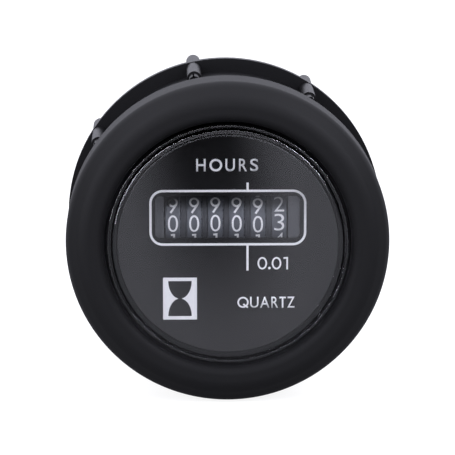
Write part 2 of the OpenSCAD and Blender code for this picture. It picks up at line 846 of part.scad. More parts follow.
module diode() {
    body_r = 1;
    body_len = 4;
    lead_r = 0.3;
    span = 2 * body_len;
    color([0.15, 0.15, 0.15]) facing() translate([diode_at[0], diode_at[1], board_top + body_r + press_gap]) {
        rotate([0, 90, 0]) cylinder(r = body_r, h = body_len, center = true);
        rotate([0, 90, 0]) cylinder(r = lead_r, h = span, center = true);
        for (side = [-1, 1]) translate([side * (span / 2 - lead_r), 0, -body_r])
            cylinder(r = lead_r, h = body_r);
    }
}

module chassis_screws() {
    color([0.75, 0.76, 0.78]) facing() at_posts() {
        translate([0, 0, plate_front]) cylinder(r = screw_head_r, h = screw_head_h);
        translate([0, 0, plate_back - screw_len + over]) cylinder(r = screw_r, h = plate_t + screw_len);
    }
}

// A cheese-head screw along x with its head on the face at x
module small_screw(x, y, z, w) {
    bar_x(x, y, z, small_head_r, small_head_h);
    bar_x(x - w, y, z, small_screw_r, w + small_head_h / 2);
}

module stator_screws() {
    color([0.75, 0.76, 0.78]) facing() for (y = stator_screw_y)
        small_screw(core_x + lamination, y, coil_z, core_x + lamination - wall_x);
}

module bridge_screws() {
    color([0.75, 0.76, 0.78]) facing() for (p = bridge_posts)
        small_screw(bridge_right, p[0], p[1], bridge_right - right_face);
}

rubber_bezel();
lens();
dial_plate();
case();
clamp_ring();
terminal_left();
terminal_right();
chassis();
wheel_shaft();
thousands_wheel();
hundreds_wheel();
tens_wheel();
units_wheel();
tenths_wheel();
hundredths_wheel();
drive_gear();
pinion_shaft();
transfer_pinion_1();
transfer_pinion_2();
transfer_pinion_3();
transfer_pinion_4();
transfer_pinion_5();
intermediate_gear();
gear_arbor();
rotor_shaft();
rotor_magnet();
gear_bridge();
stator();
coil_core();
coil_bobbin();
coil_winding();
circuit_board();
quartz_crystal();
chip();
capacitor();
diode();
chassis_screws();
stator_screws();
bridge_screws();
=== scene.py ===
# A round hour meter for a panel: a rubber bezel and a clear cap over a printed dial, six number
# wheels behind its window, and a clamp ring pushed on from behind. Sizes are in metres.
import math

import bpy
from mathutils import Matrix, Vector


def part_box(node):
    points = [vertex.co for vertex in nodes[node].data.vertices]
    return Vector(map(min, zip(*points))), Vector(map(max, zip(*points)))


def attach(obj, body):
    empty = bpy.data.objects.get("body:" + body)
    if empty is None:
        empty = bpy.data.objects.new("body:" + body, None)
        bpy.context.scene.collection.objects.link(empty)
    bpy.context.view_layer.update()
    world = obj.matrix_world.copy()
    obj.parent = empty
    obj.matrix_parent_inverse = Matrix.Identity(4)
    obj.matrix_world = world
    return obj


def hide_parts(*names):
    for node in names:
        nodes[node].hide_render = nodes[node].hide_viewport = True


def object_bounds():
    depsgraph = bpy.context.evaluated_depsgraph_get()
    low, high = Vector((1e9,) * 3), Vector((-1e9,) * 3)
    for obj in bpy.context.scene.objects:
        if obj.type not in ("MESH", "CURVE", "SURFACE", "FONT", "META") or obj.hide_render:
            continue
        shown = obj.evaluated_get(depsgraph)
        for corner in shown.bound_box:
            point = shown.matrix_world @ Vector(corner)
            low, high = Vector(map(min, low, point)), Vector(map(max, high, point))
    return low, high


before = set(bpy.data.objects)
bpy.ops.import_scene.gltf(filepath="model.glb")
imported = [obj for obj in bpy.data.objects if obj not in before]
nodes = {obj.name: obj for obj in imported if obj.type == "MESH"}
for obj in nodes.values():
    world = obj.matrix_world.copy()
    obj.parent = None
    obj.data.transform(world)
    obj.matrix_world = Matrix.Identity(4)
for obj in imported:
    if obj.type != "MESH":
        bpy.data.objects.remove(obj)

cad_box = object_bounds()

# Case
# The case is one moulding of black glass-filled plastic: a cup with a flange in front and a barrel
# with grip rings behind. Its faces carry the fine even texture of the mould.
mm = 0.001
grain_low = 0.3
grain_high = 0.7
grain_detail = 4


def ramp(tree, value, start, end, low, high, interpolation="LINEAR"):
    """A node output that runs from low to high while the value that feeds it runs from start to end."""
    change = tree.nodes.new("ShaderNodeMapRange")
    change.interpolation_type = interpolation
    change.inputs["From Min"].default_value = start
    change.inputs["From Max"].default_value = end
    change.inputs["To Min"].default_value = low
    change.inputs["To Max"].default_value = high
    tree.links.new(value, change.inputs["Value"])
    return change.outputs["Result"]


def textured(name, dark, light, grain, gloss, relief, metallic=0.0, shine=0.5):
    """A finish whose tone runs from dark to light and whose roughness runs over gloss, in grains of
    the given size, with relief as the depth of the texture and shine as the level of its highlights."""
    finish = bpy.data.materials.new(name)
    finish.use_nodes = True
    tree = finish.node_tree
    shader = tree.nodes["Principled BSDF"]
    shader.inputs["Metallic"].default_value = metallic
    shader.inputs["Specular IOR Level"].default_value = shine
    place = tree.nodes.new("ShaderNodeTexCoord")
    speckle = tree.nodes.new("ShaderNodeTexNoise")
    speckle.inputs["Scale"].default_value = 1 / grain
    speckle.inputs["Detail"].default_value = grain_detail
    tree.links.new(place.outputs["Object"], speckle.inputs["Vector"])
    tone = tree.nodes.new("ShaderNodeValToRGB")
    tone.name = "tone"
    tone.color_ramp.elements[0].position = grain_low
    tone.color_ramp.elements[1].position = grain_high
    tone.color_ramp.elements[0].color = (*dark, 1)
    tone.color_ramp.elements[1].color = (*light, 1)
    tree.links.new(speckle.outputs["Fac"], tone.inputs["Fac"])
    tree.links.new(tone.outputs["Color"], shader.inputs["Base Color"])
    rough = ramp(tree, speckle.outputs["Fac"], grain_low, grain_high, gloss[0], gloss[1])
    tree.links.new(rough, shader.inputs["Roughness"])
    bump = tree.nodes.new("ShaderNodeBump")
    bump.inputs["Strength"].default_value = 1
    bump.inputs["Distance"].default_value = relief
    tree.links.new(speckle.outputs["Fac"], bump.inputs["Height"])
    tree.links.new(bump.outputs["Normal"], shader.inputs["Normal"])
    return finish


def dress(finish, slot, *names):
    """Gives CAD nodes their finish; the slot argument is not used."""
    for name in names:
        nodes[name].data.materials.clear()
        nodes[name].data.materials.append(finish)


case_plastic = textured("case_plastic", (0.006, 0.006, 0.0065), (0.01, 0.01, 0.0105), 0.25 * mm,
                        (0.42, 0.55), 0.004 * mm, shine=0.3)
dress(case_plastic, "case_black", "case")

# Terminals
# The two blades are stamped from brass strip and tinned, so they are pale and a little mottled. They
# are pushed through the floor of the case up to their stops.
tinned_brass = textured("tinned_brass", (0.55, 0.53, 0.47), (0.72, 0.7, 0.64), 0.6 * mm,
                        (0.22, 0.38), 0.002 * mm, metallic=1.0)
dress(tinned_brass, "tinned_brass", "terminal_left", "terminal_right")

# Circuit board
# A glass-fibre board under green solder mask carries the crystal, chip, capacitor and diode of the
# quartz clock. It rests on the shoulders of the case posts, behind the coil.
solder_mask = textured("solder_mask", (0.008, 0.05, 0.02), (0.016, 0.085, 0.035), 1.5 * mm,
                       (0.25, 0.4), 0.003 * mm)
dress(solder_mask, "board_green", "circuit_board")
chip_epoxy = textured("chip_epoxy", (0.014, 0.014, 0.015), (0.024, 0.024, 0.025), 0.2 * mm,
                      (0.5, 0.65), 0.004 * mm)
dress(chip_epoxy, "chip_black", "chip", "diode")
can_steel = textured("can_steel", (0.5, 0.51, 0.52), (0.66, 0.67, 0.68), 0.5 * mm,
                     (0.2, 0.34), 0.002 * mm, metallic=1.0)
dress(can_steel, "steel", "quartz_crystal")
capacitor_sleeve = textured("capacitor_sleeve", (0.02, 0.05, 0.16), (0.03, 0.08, 0.22), 0.8 * mm,
                            (0.3, 0.42), 0.003 * mm)
dress(capacitor_sleeve, "capacitor_blue", "capacitor")

# Stepping motor
# A rotor magnet turns in the hole of a soft-iron stator plate. The coil beside it is enamelled wire
# wound on a cream bobbin, over a core of the same iron.
soft_iron = textured("soft_iron", (0.42, 0.42, 0.43), (0.56, 0.56, 0.57), 0.4 * mm,
                     (0.35, 0.5), 0.004 * mm, metallic=1.0)
dress(soft_iron, "lamination", "stator", "coil_core")
magnet_grey = textured("magnet_grey", (0.06, 0.06, 0.062), (0.1, 0.1, 0.104), 0.15 * mm,
                       (0.45, 0.6), 0.006 * mm)
dress(magnet_grey, "magnet_dark", "rotor_magnet")
bobbin_cream = textured("bobbin_cream", (0.62, 0.56, 0.42), (0.7, 0.64, 0.5), 0.5 * mm,
                        (0.4, 0.5), 0.003 * mm)
dress(bobbin_cream, "bobbin_cream", "coil_bobbin")
copper_wire = textured("copper_wire", (0.5, 0.17, 0.06), (0.72, 0.28, 0.11), 0.12 * mm,
                       (0.22, 0.36), 0.03 * mm, metallic=1.0)
dress(copper_wire, "copper_wire", "coil_winding")

# Chassis and shafts
# The chassis is a grey moulding with two cheeks that carry the wheel shaft and the pinion shaft. The
# shafts are ground steel, and screws hold the chassis, stator and gear bridge.
chassis_grey = textured("chassis_grey", (0.072, 0.075, 0.081), (0.094, 0.098, 0.104), 0.3 * mm,
                        (0.4, 0.52), 0.004 * mm)
dress(chassis_grey, "chassis_grey", "chassis", "gear_bridge")
ground_steel = textured("ground_steel", (0.56, 0.57, 0.58), (0.7, 0.71, 0.72), 0.3 * mm,
                        (0.18, 0.3), 0.001 * mm, metallic=1.0)
dress(ground_steel, "steel", "wheel_shaft", "pinion_shaft", "gear_arbor", "rotor_shaft",
      "chassis_screws", "stator_screws", "bridge_screws")

# Gears
# The gears and the carry pinions are small white mouldings of a slippery plastic, and run dry on
# their shafts.
gear_white = textured("gear_white", (0.66, 0.66, 0.63), (0.76, 0.76, 0.73), 0.4 * mm,
                      (0.35, 0.45), 0.002 * mm)
dress(gear_white, "gear_white", "drive_gear", "intermediate_gear", "transfer_pinion_1",
      "transfer_pinion_2", "transfer_pinion_3", "transfer_pinion_4", "transfer_pinion_5")

# Number wheels
# Six wheels of grey plastic turn side by side on the steel shaft behind the window. Each has ten
# digits printed round its rim, 36 degrees apart, and carries the next wheel on by a tenth of a turn.
wheel_r = 5.7 * mm
wheel_pitch = 3.95 * mm
first_wheel = -10.125 * mm
axle = Vector((0, 0.2 * mm, 2.9 * mm))
rim_depth = 0.35 * mm
# Pale colour of the hubs, painted light in the shaded gaps between the rims
painted_gap_light = (0.33, 0.335, 0.35)
wheel_names = ("thousands_wheel", "hundreds_wheel", "tens_wheel", "units_wheel", "tenths_wheel",
               "hundredths_wheel")
wheel_plastic = textured("wheel_plastic", (0.075, 0.081, 0.092), (0.088, 0.094, 0.106), 0.2 * mm,
                         (0.4, 0.5), 0.002 * mm)


def distance_from(tree, centre, plane):
    """A node output with the distance from a centre line, measured along the axes that plane keeps."""
    place = tree.nodes.new("ShaderNodeTexCoord")
    from_centre = tree.nodes.new("ShaderNodeVectorMath")
    from_centre.operation = "SUBTRACT"
    from_centre.inputs[1].default_value = centre
    across = tree.nodes.new("ShaderNodeVectorMath")
    across.operation = "MULTIPLY"
    across.inputs[1].default_value = plane
    distance = tree.nodes.new("ShaderNodeVectorMath")
    distance.operation = "LENGTH"
    tree.links.new(place.outputs["Object"], from_centre.inputs[0])
    tree.links.new(from_centre.outputs["Vector"], across.inputs[0])
    tree.links.new(across.outputs["Vector"], distance.inputs[0])
    return distance.outputs["Value"]


# The hub of each wheel is lighter than its rim, as painted light in the shaded gaps between the rims
tree = wheel_plastic.node_tree
from_axle = distance_from(tree, axle, (0, 1, 1))
rim_share = ramp(tree, from_axle, wheel_r - 1.5 * rim_depth, wheel_r - rim_depth, 0, 1)
rim_and_gap_light = tree.nodes.new("ShaderNodeMix")
rim_and_gap_light.data_type = "RGBA"
rim_and_gap_light.inputs["A"].default_value = (*painted_gap_light, 1)
tree.links.new(rim_share, rim_and_gap_light.inputs["Factor"])
tree.links.new(tree.nodes["tone"].outputs["Color"], rim_and_gap_light.inputs["B"])
tree.links.new(rim_and_gap_light.outputs["Result"], tree.nodes["Principled BSDF"].inputs["Base Color"])
dress(wheel_plastic, "wheel_grey", *wheel_names)

digit_h = 3.15 * mm
digit_w = 1.88 * mm
one_w = 0.42 * digit_w
digit_line = 0.38 * mm
digit_weight = -0.008
digit_ink = 0.04 * mm
digit_step = math.radians(36)
strip_h = 0.2 * mm
oval_points = 48
smooth_angle = math.radians(30)


def pick(piece):
    """Selects one piece alone and makes it the active one."""
    bpy.ops.object.select_all(action="DESELECT")
    piece.select_set(True)
    bpy.context.view_layer.objects.active = piece


def apply_place(piece):
    """Moves a piece's place, turn and scale into its mesh."""
    pick(piece)
    bpy.ops.object.transform_apply(location=True, rotation=True, scale=True)


def thicken(piece, ink):
    """Gives a flat outline the thickness of a printed layer, towards the viewer."""
    layer = piece.modifiers.new("layer", "SOLIDIFY")
    layer.thickness = ink
    layer.offset = 1
    bpy.ops.object.modifier_apply(modifier=layer.name)


def letter(character, width, height, weight, ink):
    """A printed character of this width and height, facing the viewer and centred on the origin."""
    bpy.ops.object.select_all(action="DESELECT")
    bpy.ops.object.text_add(rotation=(math.pi / 2, 0, 0))
    piece = bpy.context.object
    piece.data.body = character
    piece.data.offset = weight
    bpy.ops.object.convert(target="MESH")
    apply_place(piece)
    low = Vector(min(v.co[i] for v in piece.data.vertices) for i in range(3))
    high = Vector(max(v.co[i] for v in piece.data.vertices) for i in range(3))
    piece.location = -(low + high) / 2
    apply_place(piece)
    piece.scale = (width / (high.x - low.x), 1, height / (high.z - low.z))
    apply_place(piece)
    thicken(piece, ink)
    return piece


def stroke(start, end, line, ink):
    """A straight printed stroke between two points, given as (across, up)."""
    reach = Vector(end) - Vector(start)
    middle = (Vector(start) + Vector(end)) / 2
    bpy.ops.object.select_all(action="DESELECT")
    bpy.ops.mesh.primitive_plane_add(size=1, rotation=(math.pi / 2, 0, 0))
    piece = bpy.context.object
    piece.scale = (reach.length, line, 1)
    apply_place(piece)
    piece.rotation_euler.y = -math.atan2(reach.y, reach.x)
    piece.location = (middle.x, 0, middle.y)
    apply_place(piece)
    thicken(piece, ink)
    return piece


def loop(centre, width, height, line, ink):
    """A printed oval ring, or a full oval where the line fills it."""
    bpy.ops.object.select_all(action="DESELECT")
    bpy.ops.mesh.primitive_circle_add(vertices=oval_points, radius=0.5, fill_type="NGON",
                                      rotation=(math.pi / 2, 0, 0))
    piece = bpy.context.object
    piece.scale = (width, height, 1)
    apply_place(piece)
    piece.location = (centre[0], 0, centre[1])
    apply_place(piece)
    if 2 * line < width:
        bpy.ops.object.mode_set(mode="EDIT")
        bpy.ops.mesh.select_mode(type="FACE")
        bpy.ops.mesh.select_all(action="SELECT")
        bpy.ops.mesh.inset(thickness=line)
        bpy.ops.mesh.delete(type="FACE")
        bpy.ops.object.mode_set(mode="OBJECT")
    thicken(piece, ink)
    return piece


def combine(piece, other, how):
    """Welds another solid to a piece or cuts it out of the piece, and removes the other solid."""
    pick(piece)
    change = piece.modifiers.new("change", "BOOLEAN")
    change.operation = how
    change.solver = "EXACT"
    change.object = other
    bpy.ops.object.modifier_apply(modifier=change.name)
    bpy.data.objects.remove(other)


def gather(name, pieces):
    """Makes one piece of several."""
    bpy.ops.object.select_all(action="DESELECT")
    for piece in pieces:
        piece.select_set(True)
    bpy.context.view_layer.objects.active = pieces[0]
    bpy.ops.object.join()
    pieces[0].name = name
    return pieces[0]


def plain_one(height, width, line, ink):
    """The digit one: an upright stroke with a short flag at its upper left."""
    upright = width / 2 - line / 2
    flag = height / 2 - line / 2
    piece = stroke((upright, -height / 2), (upright, height / 2), line, ink)
    flag_tip = (-width / 2, flag - 0.2 * line)
    combine(piece, stroke(flag_tip, (upright, flag), line, ink), "UNION")
    return piece


def round_nine(height, width, line, ink):
    """The digit nine: a round bowl with a straight tail."""
    bowl_h = 0.65 * height
    piece = loop((0, (height - bowl_h) / 2), width, bowl_h, line, ink)
    tail_tip = (-0.24 * width, -height / 2)
    tail_root = (0.36 * width, 0.03 * height)
    combine(piece, stroke(tail_tip, tail_root, line, ink), "UNION")
    return piece


def wheel_digit(number):
    """One digit bent round the rim of a wheel whose axle lies on the X axis."""
    if number == 1:
        piece = plain_one(digit_h, one_w, digit_line, digit_ink)
    elif number in (6, 9):
        piece = round_nine(digit_h, digit_w, digit_line, digit_ink)
        if number == 6:
            piece.rotation_euler.y = math.pi
            apply_place(piece)
    else:
        piece = letter(str(number), digit_w, digit_h, digit_weight, digit_ink)
    bpy.ops.object.mode_set(mode="EDIT")
    cuts = int(digit_h / strip_h)
    for cut in range(1, cuts):
        bpy.ops.mesh.select_all(action="SELECT")
        bpy.ops.mesh.bisect(plane_co=(0, 0, (cut / cuts - 0.5) * digit_h), plane_no=(0, 0, 1))
    bpy.ops.object.mode_set(mode="OBJECT")
    bend = piece.modifiers.new("bend", "SIMPLE_DEFORM")
    bend.deform_method = "BEND"
    bend.deform_axis = "X"
    bend.angle = digit_h / wheel_r
    bpy.ops.object.modifier_apply(modifier=bend.name)
    piece.location = (0, -wheel_r, 0)
    apply_place(piece)
    piece.rotation_euler.x = number * digit_step
    apply_place(piece)
    return piece


digit_ring = gather("digit_ring", [wheel_digit(number) for number in range(10)])
bpy.ops.object.shade_smooth_by_angle(angle=smooth_angle)
white_ink = textured("white_ink", (0.84, 0.84, 0.84), (0.9, 0.9, 0.9), 0.3 * mm, (0.5, 0.6), 0.001 * mm)
digit_ring.data.materials.append(white_ink)
# Digit that each wheel shows, and the turn in degrees that its play leaves
shown = ((0, -0.3), (0, -0.3), (0, -1.1), (0, -0.3), (0, 1.4), (3, -2.4))
for i, (wheel, (number, play)) in enumerate(zip(wheel_names, shown)):
    ring = digit_ring.copy()
    ring.data = digit_ring.data.copy()
    ring.name = wheel.replace("wheel", "digits")
    bpy.context.collection.objects.link(ring)
    ring.location = axle + Vector((first_wheel + i * wheel_pitch, 0, 0))
    ring.rotation_euler.x = math.radians(play) - number * digit_step
    apply_place(ring)
    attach(ring, wheel)
bpy.data.objects.remove(digit_ring)

# Wheel mask, bars of painted shade between the wheels
# A thin grey moulding is sprung between the cheeks of the chassis, in front of the wheels. Its curved
# bars fill the gaps between the rims with a flat grey that is painted shade of those gaps, and two
# rails behind the dial carry the bars.
gap_shade_grey = textured("gap_shade_grey", (0.04, 0.042, 0.047), (0.05, 0.052, 0.057), 0.2 * mm,
                     (0.5, 0.6), 0.002 * mm, shine=0.3)
bar_w = 1.0 * mm
bar_inner = 5.5 * mm
bar_outer = 5.69 * mm
rail_outer = 6.1 * mm
rail_inner = 5.8 * mm
bar_top = math.radians(66)
bar_end = math.radians(-50)
bar_step = math.radians(4)
rail_arc = math.radians(6)
rail_left = -11.8 * mm
rail_right = 11.3 * mm


def curved_bar(centre, width, inner, outer, top, end):
    """A bar of even section bent round the wheels' axle, from one angle above the front to another."""
    bpy.ops.object.select_all(action="DESELECT")
    middle = (inner + outer) / 2
    bpy.ops.mesh.primitive_plane_add(size=1, location=axle + Vector((centre, -middle, 0)))
    piece = bpy.context.object
    piece.scale = (width, outer - inner, 1)
    apply_place(piece)
    bpy.ops.object.mode_set(mode="EDIT")
    bpy.ops.mesh.select_all(action="SELECT")
    bpy.ops.transform.rotate(value=end, orient_axis="X", center_override=axle)
    steps = max(2, round((top - end) / bar_step))
    bpy.ops.mesh.spin(steps=steps, angle=top - end, center=axle, axis=(1, 0, 0))
    bpy.ops.mesh.select_all(action="SELECT")
    bpy.ops.mesh.normals_make_consistent(inside=False)
    bpy.ops.object.mode_set(mode="OBJECT")
    return piece


rail_middle = (rail_left + rail_right) / 2
rail_w = rail_right - rail_left
mask = curved_bar(rail_middle, rail_w, rail_inner, rail_outer, bar_top + rail_arc, bar_top)
mask.name = "wheel_gap_shade"
lower_rail = curved_bar(rail_middle, rail_w, rail_inner, rail_outer, bar_end, bar_end - rail_arc)
combine(mask, lower_rail, "UNION")
for i in range(len(wheel_names) - 1):
    gap = first_wheel + (i + 0.5) * wheel_pitch
    bar = curved_bar(gap, bar_w, bar_inner, bar_outer, bar_top, bar_end)
    combine(bar, curved_bar(gap, bar_w, bar_inner, rail_outer, bar_top + rail_arc, bar_top), "UNION")
    combine(bar, curved_bar(gap, bar_w, bar_inner, rail_outer, bar_end, bar_end - rail_arc), "UNION")
    combine(mask, bar, "UNION")
bpy.ops.object.shade_smooth_by_angle(angle=smooth_angle)
mask.data.materials.append(gap_shade_grey)
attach(mask, "meter")

# Dial
# The dial is a thin disc of black plastic with a rounded window, dropped on the ledge inside the case
# flange. Its front is matt, and the white marks are screen-printed on it.
dial_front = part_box("dial_plate")[0].y
window_rise = 4.4 * mm
dial_black = textured("dial_black", (0.004, 0.004, 0.0043), (0.0052, 0.0052, 0.0056), 1.5 * mm,
                      (0.66, 0.74), 0.0004 * mm, shine=0.06)
dress(dial_black, "dial_black", "dial_plate")

print_t = 0.03 * mm
bold = 0.0105
fine = 0.006
bold_line = 0.41 * mm
fine_line = 0.31 * mm


def spread(piece, middle):
    """Moves a character along its line of print."""
    piece.location.x = middle
    apply_place(piece)
    return piece


def print_letter(character, left, right, height, weight):
    """A character that fills its place in a line of print."""
    return spread(letter(character, right - left, height, weight, print_t), (left + right) / 2)


def lay_print(piece, centre):
    """Lays a printed mark on the dial at this place and gives it the white ink."""
    piece.location = (centre[0], dial_front, centre[1])
    apply_place(piece)
    piece.data.materials.append(white_ink)
    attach(piece, "meter")


hours_h = 2.36 * mm
hours_place = (0, 14.2 * mm)
hours = gather("print_hours", [
    print_letter("H", -5.8 * mm, -4.05 * mm, hours_h, bold),
    loop((-2.17 * mm, 0), 2.37 * mm, hours_h, bold_line, print_t),
    print_letter("U", -0.4 * mm, 1.36 * mm, hours_h, bold),
    print_letter("R", 2.1 * mm, 3.6 * mm, hours_h, bold),
    print_letter("S", 4.18 * mm, 5.66 * mm, hours_h, bold),
])
lay_print(hours, hours_place)

quartz_h = 2.1 * mm
quartz_place = (7.15 * mm, -11.7 * mm)
q_w = 2.1 * mm
q_centre = -4.28 * mm
tail_root = (q_centre + 0.05 * mm, -0.33 * mm)
tail_tip = (q_centre + 0.9 * mm, -1 * mm)
letter_q = loop((q_centre, 0), q_w, quartz_h, fine_line, print_t)
combine(letter_q, stroke(tail_root, tail_tip, fine_line, print_t), "UNION")
t_left = 2.49 * mm
t_stem = 3.09 * mm
t_right = 3.69 * mm
t_top = (quartz_h - fine_line) / 2
letter_t = stroke((t_stem, -quartz_h / 2), (t_stem, t_top), fine_line, print_t)
combine(letter_t, stroke((t_left, t_top), (t_right, t_top), fine_line, print_t), "UNION")
quartz = gather("print_quartz", [
    letter_q,
    print_letter("U", -2.97 * mm, -1.39 * mm, quartz_h, fine),
    print_letter("A", -1.1 * mm, 0.65 * mm, quartz_h, fine),
    print_letter("R", 1.0 * mm, 2.25 * mm, quartz_h, fine),
    letter_t,
    print_letter("Z", 3.95 * mm, 5.32 * mm, quartz_h, fine),
])
lay_print(quartz, quartz_place)

hundredth_h = 2.35 * mm
hundredth_place = (8.4 * mm, -4.3 * mm)
nought_w = 1.79 * mm
point_d = 0.5 * mm
last_one_w = 0.85 * mm
hundredth = gather("print_hundredth", [
    loop((-1.95 * mm, 0), nought_w, hundredth_h, fine_line, print_t),
    loop((-0.63 * mm, (point_d - hundredth_h) / 2), point_d, point_d, point_d / 2, print_t),
    loop((0.69 * mm, 0), nought_w, hundredth_h, fine_line, print_t),
    spread(plain_one(hundredth_h, last_one_w, fine_line, print_t), 2.4 * mm),
])
lay_print(hundredth, hundredth_place)

line_w = 0.44 * mm
outline_w = 29.1 * mm
outline_h = 10.5 * mm
outline_r = 2.5 * mm
outline_place = (0.05 * mm, window_rise - 0.08 * mm)
corner_steps = 10
tick_x = 3.65 * mm
tick_w = 0.42 * mm
tick_up = 1.33 * mm
tick_down = 4.73 * mm
bpy.ops.object.select_all(action="DESELECT")
bpy.ops.mesh.primitive_plane_add(size=1, rotation=(math.pi / 2, 0, 0))
outline = bpy.context.object
outline.name = "print_outline"
outline.scale = (outline_w, outline_h, 1)
apply_place(outline)
bpy.ops.object.mode_set(mode="EDIT")
bpy.ops.mesh.select_mode(type="VERT")
bpy.ops.mesh.select_all(action="SELECT")
bpy.ops.mesh.bevel(offset=outline_r, segments=corner_steps, affect="VERTICES")
bpy.ops.mesh.select_mode(type="FACE")
bpy.ops.mesh.select_all(action="SELECT")
bpy.ops.mesh.inset(thickness=line_w)
bpy.ops.mesh.delete(type="FACE")
bpy.ops.object.mode_set(mode="OBJECT")
thicken(outline, print_t)
for side, length in ((1, tick_up), (-1, tick_down)):
    root = side * (outline_h - line_w) / 2
    tip = side * (outline_h / 2 + length)
    combine(outline, stroke((tick_x, root), (tick_x, tip), tick_w, print_t), "UNION")
lay_print(outline, outline_place)

glass_w = 6.3 * mm
glass_h = 7.95 * mm
glass_place = (-8.85 * mm, -10.95 * mm)
bulb_w = 4.35 * mm
bulb_h = 3.35 * mm
neck_w = 0.6 * mm
neck_h = 0.8 * mm
bulb_gap = 0.65 * mm
bulb_points = 96
cutter_t = 1 * mm
hourglass = stroke((-glass_w / 2, 0), (glass_w / 2, 0), glass_h, print_t)
hourglass.name = "print_hourglass"
for side in (-1, 1):
    bpy.ops.object.select_all(action="DESELECT")
    bpy.ops.mesh.primitive_cylinder_add(vertices=bulb_points, radius=0.5, depth=cutter_t,
                                        rotation=(math.pi / 2, 0, 0))
    bulb = bpy.context.object
    bulb.scale = (bulb_w, 2 * bulb_h, 1)
    apply_place(bulb)
    bpy.ops.object.mode_set(mode="EDIT")
    bpy.ops.mesh.select_all(action="SELECT")
    bpy.ops.mesh.bisect(plane_co=(0, 0, 0), plane_no=(0, 0, side), use_fill=True, clear_outer=True)
    bpy.ops.object.mode_set(mode="OBJECT")
    bulb.location = (0, 0, side * (glass_h / 2 - bulb_gap))
    apply_place(bulb)
    combine(hourglass, bulb, "DIFFERENCE")
bpy.ops.object.select_all(action="DESELECT")
bpy.ops.mesh.primitive_cube_add(size=1)
neck = bpy.context.object
neck.scale = (neck_w, cutter_t, neck_h)
apply_place(neck)
combine(hourglass, neck, "DIFFERENCE")
lay_print(hourglass, glass_place)

# Clear cap
# The lens is a flat-fronted cap moulded in clear acrylic. Its foot lies on the case flange and is held
# there by the rubber bezel. A narrow groove near the edge leaves a thin ridge round the front.
lens_front = 11.6 * mm
lens_t = 1.5 * mm
cap_r = 21.65 * mm
cap_round = 0.9 * mm
cavity_r = 20.6 * mm
cavity_round = 0.4 * mm
groove_front = 10.3 * mm
ridge_r = 21.8 * mm
ridge_front = 11.58 * mm
ridge_round = 0.36 * mm
lens_r = 22.4 * mm
foot_r = 28 * mm
foot_front = 8.4 * mm
foot_back = 7 * mm
foot_round = 0.2 * mm
inner_round = 0.1 * mm
flat_edge = 0.2 * mm
turn_points = 256
near = 0.02 * mm
weld_gap = 0.001 * mm


def turned(name, section):
    """A ring drawn out along its half section, given as (radius, distance in front of the panel)."""
    bpy.ops.object.select_all(action="DESELECT")
    radius, front = section[0]
    bpy.ops.mesh.primitive_circle_add(vertices=turn_points, radius=radius, location=(0, -front, 0),
                                      rotation=(math.pi / 2, 0, 0))
    piece = bpy.context.object
    piece.name = name
    apply_place(piece)
    bpy.ops.object.mode_set(mode="EDIT")
    bpy.ops.mesh.select_mode(type="VERT")
    bpy.ops.mesh.select_all(action="SELECT")
    for (r, z), (next_r, next_z) in zip(section, section[1:]):
        bpy.ops.mesh.extrude_region_move(TRANSFORM_OT_translate={"value": (0, z - next_z, 0)})
        bpy.ops.transform.resize(value=(next_r / r, 1, next_r / r), center_override=(0, -next_z, 0))
    bpy.ops.object.mode_set(mode="OBJECT")
    return piece


def close_up(piece):
    """Merges doubled points, turns the faces outwards and shades the rounded faces smooth."""
    pick(piece)
    bpy.ops.object.mode_set(mode="EDIT")
    bpy.ops.mesh.select_all(action="SELECT")
    bpy.ops.mesh.remove_doubles(threshold=weld_gap)
    bpy.ops.mesh.normals_make_consistent(inside=False)
    bpy.ops.object.mode_set(mode="OBJECT")
    bpy.ops.object.shade_smooth_by_angle(angle=smooth_angle)


def select_ring(piece, radius, front):
    """Selects the round edge of a turned piece that lies at this radius and distance in front."""
    mesh = piece.data
    bpy.ops.object.mode_set(mode="EDIT")
    bpy.ops.mesh.select_mode(type="EDGE")
    bpy.ops.mesh.select_all(action="DESELECT")
    bpy.ops.object.mode_set(mode="OBJECT")
    on_ring = [abs(math.hypot(v.co.x, v.co.z) - radius) < near and abs(v.co.y + front) < near
               for v in mesh.vertices]
    for edge in mesh.edges:
        edge.select = all(on_ring[v] for v in edge.vertices)
    bpy.ops.object.mode_set(mode="EDIT")


def fill_ring(piece, radius, front):
    """Closes the open end of a turned piece with a flat face."""
    select_ring(piece, radius, front)
    bpy.ops.mesh.edge_face_add()
    bpy.ops.object.mode_set(mode="OBJECT")


def round_ring(piece, radius, front, width, steps):
    """Rounds a sharp round edge of a turned piece."""
    select_ring(piece, radius, front)
    bpy.ops.mesh.bevel(offset=width, segments=steps, affect="EDGES")
    bpy.ops.object.mode_set(mode="OBJECT")


def edge_flat_end(piece, front, width):
    """Insets the flat end face at this distance in front, so that it stays flat up to its edge."""
    bpy.ops.object.mode_set(mode="EDIT")
    bpy.ops.mesh.select_mode(type="FACE")
    bpy.ops.mesh.select_all(action="DESELECT")
    bpy.ops.object.mode_set(mode="OBJECT")
    for face in piece.data.polygons:
        face.select = len(face.vertices) > 4 and abs(face.center.y + front) < near
    bpy.ops.object.mode_set(mode="EDIT")
    bpy.ops.mesh.inset(thickness=width)
    bpy.ops.object.mode_set(mode="OBJECT")


